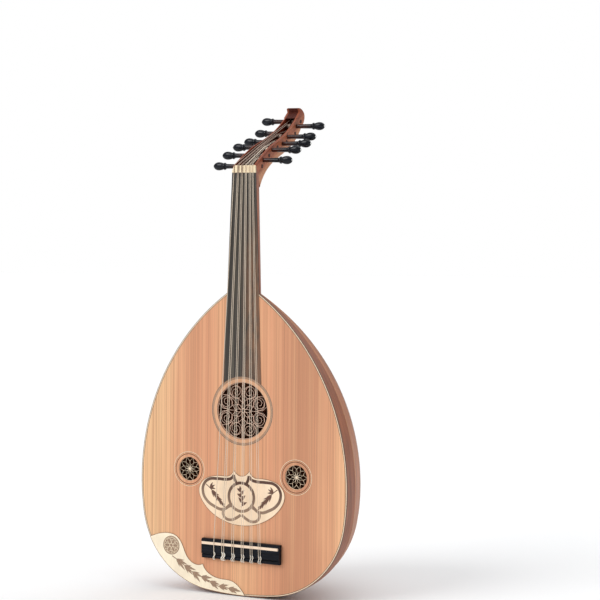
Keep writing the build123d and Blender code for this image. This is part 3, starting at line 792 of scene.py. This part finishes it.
def milky(name, colour, size, darkest, gloss, bump=0.0, coat=0.3):
    """Bone or plain string: one pale colour, slightly cloudy."""
    finish = Finish(name, coat=coat)
    cloud = finish.fleck(size)
    finish.colour(finish.mix(cloud, shade(colour, darkest), shade(colour, 1.08)))
    finish.rough(cloud, *gloss)
    if bump:
        finish.bump(cloud, bump, 0.04)
    return finish.material


def bone(name, colour):
    return milky(name, colour, (5.0, 5.0, 9.0), 0.86, (0.28, 0.4), bump=0.08)


def nylon(name, colour):
    return milky(name, colour, (2.0, 2.0, 30.0), 0.9, (0.2, 0.32), coat=0.4)


def ebony(name, colour, gloss, specular, shaft=False):
    """Near-black wood with its grain along X."""
    finish = Finish(name, specular=specular)
    tones = (shade(colour, 0.5), colour, shade(colour, 2.6))
    grain = grained(finish, tones, (60.0, 4.0, 4.0), gloss=gloss, bump=0.08)
    if shaft:
        reach = finish.sums("ABSOLUTE", finish.axes()[0])
        grain = finish.mix(finish.level(reach, 0.042, 0.030, 0.0, 0.75), grain, tone(66, 34, 26))
    finish.colour(grain)
    return finish.material


def wound(name, colour):
    """Silvery wrapped string, painted darker past the nut as the shade inside the pegbox."""
    finish = Finish(name, metallic=0.25)
    inputs = {"Vector": finish.place, "Scale": 260.0, "Distortion": 0.2}
    wrap = finish.node("TexWave", inputs, bands_direction="Z").outputs["Fac"]
    bright = finish.mix(wrap, shade(colour, 0.7), shade(colour, 1.1))
    # Painted shade: past the nut, in the pegbox, the string is painted a dull dark brown.
    painted_pegbox_shade = finish.level(finish.axes()[2], 0.684, 0.700)
    finish.colour(finish.mix(painted_pegbox_shade, bright, tone(168, 144, 128)))
    finish.rough(wrap, 0.42, 0.28, (0.0, 1.0))
    finish.bump(wrap, 0.3, 0.05)
    return finish.material


def pearl():
    finish = Finish("peg_pearl", coat=0.6)
    cloud = finish.fleck((0.9, 0.9, 0.9), 3.0)
    tints = ((0.3, (0.75, 0.78, 0.8)), (0.5, (0.9, 0.88, 0.84)), (0.7, (0.72, 0.82, 0.78)))
    finish.colour(finish.ramp(cloud, tints))
    finish.rough(cloud, 0.15, 0.3)
    return finish.material


FINISHES = {}


def dress(finish, *names):
    """Gives CAD nodes their finish."""
    for name in names:
        wear(frame["nodes"][name], finish)


# ------ operators


class OUD_OT_finishes(bpy.types.Operator):
    """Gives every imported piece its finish"""

    bl_idname = "oud.finishes"
    bl_label = "Wood and string finishes"

    def execute(self, context):
        colours = context.scene.oud_colours
        rib = tuple(colours.rib)
        light_rib = blend_of(rib, tone(190, 125, 85), 0.45)
        FINISHES.update(
            rib_dark=rib_wood("bowl_mahogany_dark", shade(rib, 0.82), 0.45),
            rib_light=rib_wood("bowl_mahogany_light", light_rib, 0.38),
            cedar=cedar(colours),
            dark_line=burnt("purfling_dark", tone(78, 52, 38), tone(112, 80, 60)),
            circles=circle_purfling(),
            light_line=burnt("purfling_light", tone(232, 206, 170), tone(250, 232, 205)),
            stringing=burnt("rib_stringing", (0.55, 0.25, 0.08), (0.72, 0.38, 0.14)),
            spruce=wood("spruce", (0.70, 0.50, 0.28), coat=0.0, spread=0.2, gloss=(0.5, 0.65)),
            tail=wood("tail_cap_wood", shade(rib, 0.9)),
            neck=wood("neck_mahogany", blend_of(rib, (0.34, 0.13, 0.08), 0.5), spread=0.3),
            cheek=pegbox_wood("pegbox_sides", colours, "cheek"),
            head=pegbox_wood("pegbox_head", colours, "head"),
            floor=pegbox_wood("pegbox_floor", colours, "floor"),
            ring=ring_wood(),
            rose=burnt("rose_wood", tone(226, 186, 160), tone(250, 220, 200)),
            lattice=burnt("lattice_wood", tone(236, 206, 170), tone(254, 238, 212)),
            maple=plate_wood("guard_maple", tuple(colours.maple)),
            maple_warm=plate_wood("pickguard_maple", tuple(colours.maple_warm)),
            inlay=burnt("dark_inlay", shade(colours.inlay, 0.75), shade(colours.inlay, 1.6)),
            bands=fading_inlay(tuple(colours.inlay)),
            # Painted shadow: the thin brown line round each guard plate's edge.
            outline=burnt("plate_shadow_line", tone(110, 66, 38), tone(150, 98, 60)),
            maple_line=burnt("medallion_lines", (0.70, 0.56, 0.38), (0.85, 0.72, 0.52)),
            leaf=burnt("leaf_inlay", tone(128, 100, 80), tone(176, 146, 120)),
            fingerboard=fingerboard_wood(),
            nut=bone("nut_bone", tone(252, 228, 190)),
            saddle=bone("saddle_bone", tone(250, 222, 196)),
            bridge=ebony("bridge_ebony", shade(colours.ebony, 0.6), (0.22, 0.38), 0.14),
            peg=ebony("peg_ebony", shade(colours.ebony, 0.7), (0.1, 0.22), 0.26, True),
            wound=wound("wound_string", tone(226, 208, 186)),
            nylon=nylon("nylon_string", tone(232, 214, 192)),
            tie=nylon("tied_string", tone(252, 244, 232)),
            pearl=pearl(),
        )
        ribs = [f"rib_{i:02d}" for i in range(1, RIB_COUNT + 1)]
        dress("rib_dark", *ribs[0::2])
        dress("rib_light", *ribs[1::2])
        dress("cedar", "soundboard_treble", "soundboard_bass")
        dress("ring", "main_rose_ring")
        dress("circles", "small_rose_rings")
        dress("spruce", "tail_block", "neck_block", "rim_lining", "face_braces")
        dress("tail", "tail_cap")
        dress("cheek", "cheek_treble", "cheek_bass")
        dress("floor", "pegbox_floor")
        dress("head", "pegbox_head")
        dress("saddle", "bridge_saddle")
        dress("maple_warm", "pickguard")
        dress("maple", "corner_guard")
        for name in ("neck", "fingerboard", "nut", "bridge"):
            dress(name, name)
        dress("peg", *(name for name in frame["nodes"] if name.startswith("peg_")))
        dress("wound", *(f"course_{i}" for i in (1, 2, 3)))
        dress("nylon", *(f"course_{i}" for i in (4, 5, 6)))
        return {"FINISHED"}


class OUD_OT_binding(bpy.types.Operator):
    """Lays the dark and light strips of the edge binding"""

    bl_idname = "oud.binding"
    bl_label = "Edge binding"

    def execute(self, context):
        strips = (
            ("binding_outer", 0.0, 0.9, "dark_line"),
            ("binding_line", 0.9, 2.1, "light_line"),
            ("binding_inner", 2.1, 3.0, "dark_line"),
        )
        for name, outer, inner, finish in strips:
            strip = edge_strip(name, outer, inner, FACE_Y, 0.0)
            place(strip, finish, stands_for=["edge_binding"])
        return {"FINISHED"}


class OUD_OT_rib_stringing(bpy.types.Operator):
    """Lays the light line between each two ribs of the bowl"""

    bl_idname = "oud.rib_stringing"
    bl_label = "Rib stringing"

    def execute(self, context):
        half = context.scene.oud_sizes.stringing / MM / 2
        lines = []
        for seam in range(1, RIB_COUNT):
            turn = pi * seam / RIB_COUNT
            outer = profile_points(min(turn, pi - turn), -0.05, TAIL_HOLE_RADIUS)
            inner = profile_points(min(turn, pi - turn), 0.6, TAIL_HOLE_RADIUS)
            points = []
            for (ro, zo), (ri, zi) in zip(outer, inner):
                width = min(half, ro * 0.06)
                corners = ((ro, zo, -width), (ro, zo, width), (ri, zi, width), (ri, zi, -width))
                for reach, z, side in corners:
                    x = reach * cos(turn) - side * sin(turn)
                    y = reach * sin(turn) + side * cos(turn)
                    points.append((x, y, z))
            lines.append(swept_box(f"line_{seam}", points))
        place(join(lines, "rib_stringing"), "stringing")
        return {"FINISHED"}


def moved(lines, x, z):
    """Lines of (x, z) points, moved."""
    return [([(px + x, pz + z) for px, pz in points], closed) for points, closed in lines]


def rose_lines():
    """The main rose's bars: eight scroll roundels round a flower, and arches at the rim."""
    petal = ((3.2, 0), (8.0, 17), (13.2, 0), (8.0, -17))
    fork = ((13.2, 0), (17.0, 15), (21.7, 22.5))
    stalk = ((13.2, 0), (20.0, 0), (27.0, 0))
    arch = ((27.0, 0), (31.5, 3.2), (36.5, 3.4), (41.0, 7.5), (45.8, 12.0))
    lines = []
    for step in range(8):
        spoke = 45.0 * step
        angle = spoke + 22.5
        centre = round_point(32.6, angle)
        lines.append(circle(centre, 10.4))
        for start in (0.0, 180.0):
            sense = 1 if step % 2 else -1
            lines.append(spiral(centre, 10.4, 2.6, angle + start, 0.78 * sense))
        lines.append((fan(spoke, petal), True))
        for hand in (1, -1):
            lines.append((fan(spoke, fork, hand), False))
        if step in (2, 6):
            end = 46.0 if step == 2 else -46.0
            for side in (-1.4, 1.4):
                lines.append(([(side, end * share) for share in (0.29, 0.65, 1.0)], False))
            continue
        lines.append((fan(spoke, stalk), False))
        for hand in (-1, 1):
            lines.append((fan(spoke, arch, hand), False))
    lines.append(circle((0.0, 0.0), 3.2, 8))
    lines.append(circle((0.0, 0.0), 46.3, 32))
    return moved(lines, 0.0, ROSE_Z)


def lattice_lines(centre):
    """The small roses' bars: two ten-pointed zigzags, one inside the other, round an eye."""
    tips = 10
    lines = [circle((0.0, 0.0), 0.5, 8)]
    for outer, inner, turn in ((19.8, 12.8, 0.0), (12.8, 6.4, 18.0)):
        zigzag = []
        for step in range(tips):
            zigzag += fan(360.0 * step / tips + turn, ((outer, 0.0), (inner, 180.0 / tips)))
        lines.append((zigzag, True))
    for step in range(tips):
        lines.append((fan(360.0 * step / tips, ((0.6, 0.0), (6.0, 0.0))), False))
    return moved(lines, *centre)


class OUD_OT_roses(bpy.types.Operator):
    """Carves the main rose and the two small roses"""

    bl_idname = "oud.roses"
    bl_label = "Roses"

    def execute(self, context):
        sizes = context.scene.oud_sizes
        middle, thickness = 0.5, 0.8
        bars = flat_bars("tracery", rose_lines(), sizes.tracery / MM, middle, thickness)
        flange = ring("flange", (0.0, ROSE_Z), ROSE_RADIUS - 0.4, 52.0, 0.0, ROSE_BACK_Y)
        rose = join([bars, flange], "main_rose_tracery")
        place(rose, "rose", stands_for=["main_rose"])
        for side, name in ((-1, "small_rose_bass"), (1, "small_rose_treble")):
            centre = (side * SMALL_ROSE_X, SMALL_ROSE_Z)
            lines, width = lattice_lines(centre), sizes.lattice / MM
            bars = flat_bars("lattice", lines, width, middle, thickness, False)
            edges = (SMALL_ROSE_RADIUS - 0.5, SMALL_ROSE_RADIUS + 5.0)
            flange = ring("flange", centre, *edges, 0.0, ROSE_BACK_Y, 64)
            rose = join([bars, flange], name + "_lattice")
            place(rose, "lattice", stands_for=[name])
            line = ring(name + "_circle", centre, *INNER_CIRCLE, FACE_Y - 0.05, FACE_Y + 0.3, 64)
            place(line, "circles")
        return {"FINISHED"}


def along(stem, share):
    """The point at a share of the way along a stem, and the heading there in degrees."""
    spans = [(a, b, hypot(b[0] - a[0], b[1] - a[1])) for a, b in zip(stem, stem[1:])]
    reach = share * sum(span for _, _, span in spans)
    for a, b, span in spans:
        if reach <= span:
            break
        reach -= span
    spot = tuple(p + (q - p) * min(1.0, reach / span) for p, q in zip(a, b))
    return spot, degrees(atan2(b[1] - a[1], b[0] - a[0]))


def branch(stem, count, length, width, leans, taper=0.35):
    """Leaf outlines fanned out at points along a stem, and one at its tip."""
    outlines = []
    for i in range(count):
        spot, heading = along(stem, (i + 0.5) / count)
        size = length * (1.0 - taper * i / count)
        side = 1 if i % 2 else -1
        for lean, share in leans:
            bend = -side * lean * 0.02
            outlines.append(leaf(spot, heading + side * lean, size * share, width * share, bend))
    outlines.append(leaf(stem[-1], along(stem, 1.0)[1], length * 0.6, width * 0.8))
    return outlines


class OUD_OT_pickguard_inlay(bpy.types.Operator):
    """Lays the dark bands and leaves on the pickguard"""

    bl_idname = "oud.pickguard_inlay"
    bl_label = "Pickguard inlay"

    def execute(self, context):
        width = context.scene.oud_sizes.band / MM
        horn = [(-9.8, 186.0), (-12.4, 192.0), (-14.0, 198.8)]
        lobe = [(-14.0, 198.8), (-18.5, 193.2), (-27.9, 190.6), (-44.2, 190.4), (-62.0, 188.2)]
        lobe += [(-71.4, 178.6), (-72.6, 166.7), (-66.5, 154.6), (-52.3, 144.8), (-34.0, 140.3)]
        lobe += [(-20.0, 149.6)]
        lines = [circle((0.0, 163.0), 23.4, 16)]
        for path in (horn, lobe):
            lines.append((path, False))
            lines.append((mirrored(path), False))
        bands = flat_bars("pickguard_bands", lines, width, PLATE_Y, 0.36, resolution=6)
        place(bands, "bands")

        loop = [(-19.6, 147.6), (-27.0, 143.8), (-34.0, 137.0), (-31.0, 127.4), (-19.7, 123.9)]
        loop += [(-9.0, 128.0), (-1.0, 133.4)]
        lower = [(loop, False), (mirrored(loop), False)]
        loops = flat_bars("pickguard_loops", lower, width * 0.95, PLATE_Y, 0.32, resolution=6)
        place(loops, "bands")

        stem = [(-67.0, 180.0), (-58.0, 173.0), (-49.0, 163.5), (-42.0, 156.0), (-36.0, 149.5)]
        sprig = branch(stem[1:], 6, 13.0, 3.2, ((26.0, 1.0), (-22.0, 0.8)), 0.5)
        sprig += [leaf((-59.5, 174.5), heading, 11.0, 3.4) for heading in (-6.0, 28.0, 60.0)]
        bars = flat_bars("stem", [(stem, False), (mirrored(stem), False)], 1.6, PLATE_Y, 0.28)
        flower = [(0.0, 146.0), (1.6, 155.0), (0.0, 165.0), (-1.4, 174.0)]
        both = sprig + [mirrored(outline)[::-1] for outline in sprig]
        both += branch(flower, 6, 12.5, 4.6, ((46.0, 1.0), (20.0, 0.75)))
        leaves = plates("leaves", both, 0.12)
        bud = flat_bars("bud", [(flower, False)], 1.2, PLATE_Y, 0.28)
        place(join([leaves, bars, bud], "pickguard_leaves"), "inlay")
        return {"FINISHED"}


class OUD_OT_corner_inlay(bpy.types.Operator):
    """Lays the round medallion and the leafy branch on the corner guard"""

    bl_idname = "oud.corner_inlay"
    bl_label = "Corner guard inlay"

    def execute(self, context):
        centre = (-133.2, 71.7)
        disc = plates("medallion", [circle(centre, 15.8, 48)[0]], 0.10)
        place(disc, "leaf")

        lines = [circle(centre, 13.6, 16), circle(centre, 3.0, 8)]
        petal = ((3.0, 0), (8.0, 20), (12.6, 0), (8.0, -20))
        curl = ((13.6, 30), (10.6, 37), (8.8, 30), (10.4, 24))
        for step in range(6):
            lines.append((fan(60.0 * step, petal, 1, centre), True))
            lines.append((fan(60.0 * step, curl, 1, centre), False))
        etching = flat_bars("medallion_lines", lines, 0.9, PLATE_Y - 0.10, 0.16)
        place(etching, "maple_line")

        stem = [(-131.5, 54.0), (-117.0, 46.0), (-102.0, 36.5), (-88.0, 28.5), (-74.0, 24.0)]
        stem += [(-58.0, 18.0), (-44.0, 11.8), (-30.0, 10.5), (-14.0, 8.6)]
        leans = ((34.0, 0.6), (17.0, 1.0), (-9.0, 0.95), (-26.0, 0.65))
        leaves = plates("leaves", branch(stem, 7, 25.0, 4.6, leans), 0.12)
        bar = flat_bars("stem", [(stem, False)], 1.8, PLATE_Y, 0.28)
        place(join([leaves, bar], "corner_leaves"), "leaf")
        return {"FINISHED"}


def front_outline(node, y):
    """The outline of a CAD plate's front face, as (x, z) points in order."""
    mesh = frame["nodes"][node].data
    links = {}
    for face in mesh.polygons:
        if face.normal.y < -0.9 and abs(face.center.y / MM - y) < 0.05:
            spots = [mesh.vertices[v].co / MM for v in face.vertices]
            keys = [(round(p.x, 3), round(p.z, 3)) for p in spots]
            for a, b in zip(keys, keys[1:] + keys[:1]):
                links[(a, b)] = links.get((a, b), 0) + 1
    rims = {a: b for a, b in links if (b, a) not in links}
    here = next(iter(rims))
    points = [here]
    while rims[here] != points[0] and len(points) < len(rims):
        here = rims[here]
        points.append(here)
    return points


class OUD_OT_plate_outlines(bpy.types.Operator):
    """Runs a thin brown line round the edge of each guard plate, painted as the shadow at its edge
    """

    bl_idname = "oud.plate_outlines"
    bl_label = "Plate outlines"

    def execute(self, context):
        for node in ("pickguard", "corner_guard"):
            # Painted shadow: a brown line along the plate's front outline, standing for the shade
            # at its edge.
            points = front_outline(node, PLATE_Y)
            line = flat_bars(f"{node}_outline", [(points, True)], 0.9, PLATE_Y + 0.1, 0.34, False)
            place(line, "outline")
        return {"FINISHED"}


def peg_axis(name):
    """The point (y, z) that a peg turns about, in millimetres."""
    low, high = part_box(name)
    return (low[1] + high[1]) / 2 / MM, (low[2] + high[2]) / 2 / MM


def pegbox_half(y):
    """Half the pegbox's width at y."""
    return PEGBOX_HALF - PEGBOX_TAPER * y / PEGBOX_LENGTH


class OUD_OT_windings(bpy.types.Operator):
    """Winds each string's end round its peg"""

    bl_idname = "oud.windings"
    bl_label = "String windings"

    def execute(self, context):
        turns = context.scene.oud_sizes.turns
        for number, (thick, _, nut_x, peg) in enumerate(STRINGS):
            y, z = peg_axis(peg)
            half = pegbox_half(y)
            pitch = 2 * thick + 0.08
            start = (half - STRING_MARGIN) * nut_x / NUT_HALF + pitch
            side = -1 if "bass" in peg else 1
            points = []
            for step in range(turns * 8 + 1):
                x = start + pitch * step / 8
                radius = PEG_RADIUS + (side * x - half) * PEG_TAPER + thick * 0.95
                angle = radians(-45.0 * step)
                points.append((x, y + radius * cos(angle), z + radius * sin(angle)))
            coil = tube(f"{peg}_winding", [(points, False)], thick, resolution=2)
            settle(coil, 80.0)
            kind = "wound" if number < WOUND_STRINGS else "nylon"
            place(coil, kind, body=peg)
        return {"FINISHED"}


class OUD_OT_bridge_ties(bpy.types.Operator):
    """Ties each string on the bridge's rear ledge"""

    bl_idname = "oud.bridge_ties"
    bl_label = "Bridge ties"

    def execute(self, context):
        groups = {"wound": [], "nylon": []}
        for number, (thick, x, _, _) in enumerate(STRINGS):
            front = -9.0 - 2.4 * thick
            swing = 2.1 if number < WOUND_STRINGS else 1.5
            path = [
                (x, -6.4, 57.3 - thick),
                (x - swing * 0.5, front + 1.4, 57.2 - thick),
                (x - swing * 0.9, front + 0.2, 59.4),
                (x - swing * 0.2, front - 0.3, 62.2),
                (x + swing * 0.8, front - 0.2, 64.8),
                (x + swing * 0.7, front - 0.4, 67.6),
                (x - 0.2, front - 1.0, 70.4),
            ]
            heavy = 1.5 if number in (1, 2) else 1.0
            kind = "wound" if number < WOUND_STRINGS else "nylon"
            radius = max(thick, 0.42) * heavy
            groups[kind].append(tube("tie", [(path, False)], radius, resolution=6, sides=2))
        for kind, ties in groups.items():
            tied = join(ties, f"{kind}_bridge_ties")
            settle(tied, 80.0)
            place(tied, "tie")
        return {"FINISHED"}


class OUD_OT_peg_pearls(bpy.types.Operator):
    """Sets a pearl button in the end of each peg"""

    bl_idname = "oud.peg_pearls"
    bl_label = "Peg pearls"

    def execute(self, context):
        only(frame["bodies"][BODY])
        bpy.ops.mesh.primitive_cylinder_add(
            vertices=20,
            radius=1.9 * MM,
            depth=1.3 * MM,
            rotation=(0, pi / 2, 0),
            end_fill_type="NGON",
        )
        button = bpy.context.object
        edit(button)
        bpy.ops.mesh.bevel(offset=0.4 * MM, segments=3)
        done()
        settle(button, 50.0)
        for name in sorted(n for n in frame["nodes"] if n.startswith("peg_")):
            low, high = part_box(name)
            y, z = peg_axis(name)
            x = low[0] / MM if "bass" in name else high[0] / MM
            pearl_button = added(f"{name}_pearl", button.data.copy())
            pearl_button.data.transform(Matrix.Translation(at(x, y, z)))
            place(pearl_button, "pearl", body=name)
        bpy.data.objects.remove(button)
        return {"FINISHED"}


class OUD_OT_stage(bpy.types.Operator):
    """Sets the floor, the light and the camera"""

    bl_idname = "oud.stage"
    bl_label = "Stage"

    def execute(self, context):
        scene = context.scene
        scene.view_settings.view_transform = "Standard"
        low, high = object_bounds()
        only(frame["bodies"][BODY])
        bpy.ops.mesh.primitive_circle_add(
            vertices=64, radius=14.0, fill_type="NGON", location=(0, 0, low[2] - 0.0005)
        )
        floor = bpy.context.object
        floor.name = "studio_floor"
        finish = Finish("studio_floor", roughness=0.9)
        speck = finish.fleck((900.0, 900.0, 900.0))
        finish.colour(finish.mix(speck, (0.90, 0.90, 0.90), (0.93, 0.93, 0.93)))
        floor.data.materials.append(finish.material)
        floor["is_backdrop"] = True

        world = bpy.data.worlds.new("studio")
        world.use_nodes = True
        nodes, links = world.node_tree.nodes, world.node_tree.links
        lit = nodes["Background"]
        lit.inputs["Color"].default_value = (0.96, 0.98, 1.0, 1.0)
        lit.inputs["Strength"].default_value = 0.5
        seen = nodes.new("ShaderNodeBackground")
        seen.inputs["Color"].default_value = (1, 1, 1, 1)
        path = nodes.new("ShaderNodeLightPath")
        chosen = nodes.new("ShaderNodeMixShader")
        links.new(path.outputs["Is Camera Ray"], chosen.inputs[0])
        links.new(lit.outputs[0], chosen.inputs[1])
        links.new(seen.outputs[0], chosen.inputs[2])
        links.new(chosen.outputs[0], nodes["World Output"].inputs["Surface"])
        scene.world = world

        lamps = (
            ("key_light", (-2.0, -3.2, 2.6), 35.0, 1.4),
            ("top_light", (0.2, 0.1, 3.0), 60.0, 0.95),
            ("back_light", (1.5, 3.0, 2.4), 40.0, 0.55),
        )
        for name, spot, spread, strength in lamps:
            lamp = bpy.data.lights.new(name, "SUN")
            lamp.angle = radians(spread)
            lamp.energy = strength
            holder = added(name, lamp)
            holder.location = spot
            holder.rotation_euler = Vector(spot).to_track_quat("Z", "Y").to_euler()

        azimuth, elevation, roll = radians(AZIMUTH), radians(ELEVATION), radians(ROLL)
        level = Vector((cos(azimuth), sin(azimuth), 0.0))
        flat = cos(elevation)
        back = Vector((sin(azimuth) * flat, -cos(azimuth) * flat, sin(elevation)))
        above = back.cross(level)
        right = cos(roll) * level + sin(roll) * above
        up = cos(roll) * above - sin(roll) * level
        camera = added("camera", bpy.data.cameras.new("camera"))
        camera.data.lens = LENS
        camera.data.sensor_width = 36.0
        camera.data.clip_end = 60.0
        turned = Matrix((right, up, back)).transposed().to_4x4()
        camera.matrix_world = Matrix.Translation(Vector(AIM) + back * DISTANCE) @ turned
        scene.camera = camera
        return {"FINISHED"}


class OUD_PT_panel(bpy.types.Panel):
    """The oud's settings and steps"""

    bl_idname = "OUD_PT_panel"
    bl_label = "Oud"
    bl_space_type = "VIEW_3D"
    bl_region_type = "UI"
    bl_category = "Oud"

    def draw(self, context):
        layout = self.layout
        for group in (context.scene.oud_sizes, context.scene.oud_colours):
            for name in group.__annotations__:
                layout.prop(group, name)
        for step in STEPS:
            layout.operator(step.bl_idname)


STEPS = (
    OUD_OT_finishes,
    OUD_OT_binding,
    OUD_OT_rib_stringing,
    OUD_OT_roses,
    OUD_OT_pickguard_inlay,
    OUD_OT_corner_inlay,
    OUD_OT_plate_outlines,
    OUD_OT_windings,
    OUD_OT_bridge_ties,
    OUD_OT_peg_pearls,
    OUD_OT_stage,
)
CLASSES = (OudSizes, OudColours, *STEPS, OUD_PT_panel)


def register():
    for each in CLASSES:
        bpy.utils.register_class(each)
    bpy.types.Scene.oud_sizes = bpy.props.PointerProperty(type=OudSizes)
    bpy.types.Scene.oud_colours = bpy.props.PointerProperty(type=OudColours)


def unregister():
    del bpy.types.Scene.oud_colours
    del bpy.types.Scene.oud_sizes
    for each in reversed(CLASSES):
        bpy.utils.unregister_class(each)


def main():
    register()
    for step in STEPS:
        group, name = step.bl_idname.split(".")
        getattr(getattr(bpy.ops, group), name)()


if __name__ == "__main__":
    main()
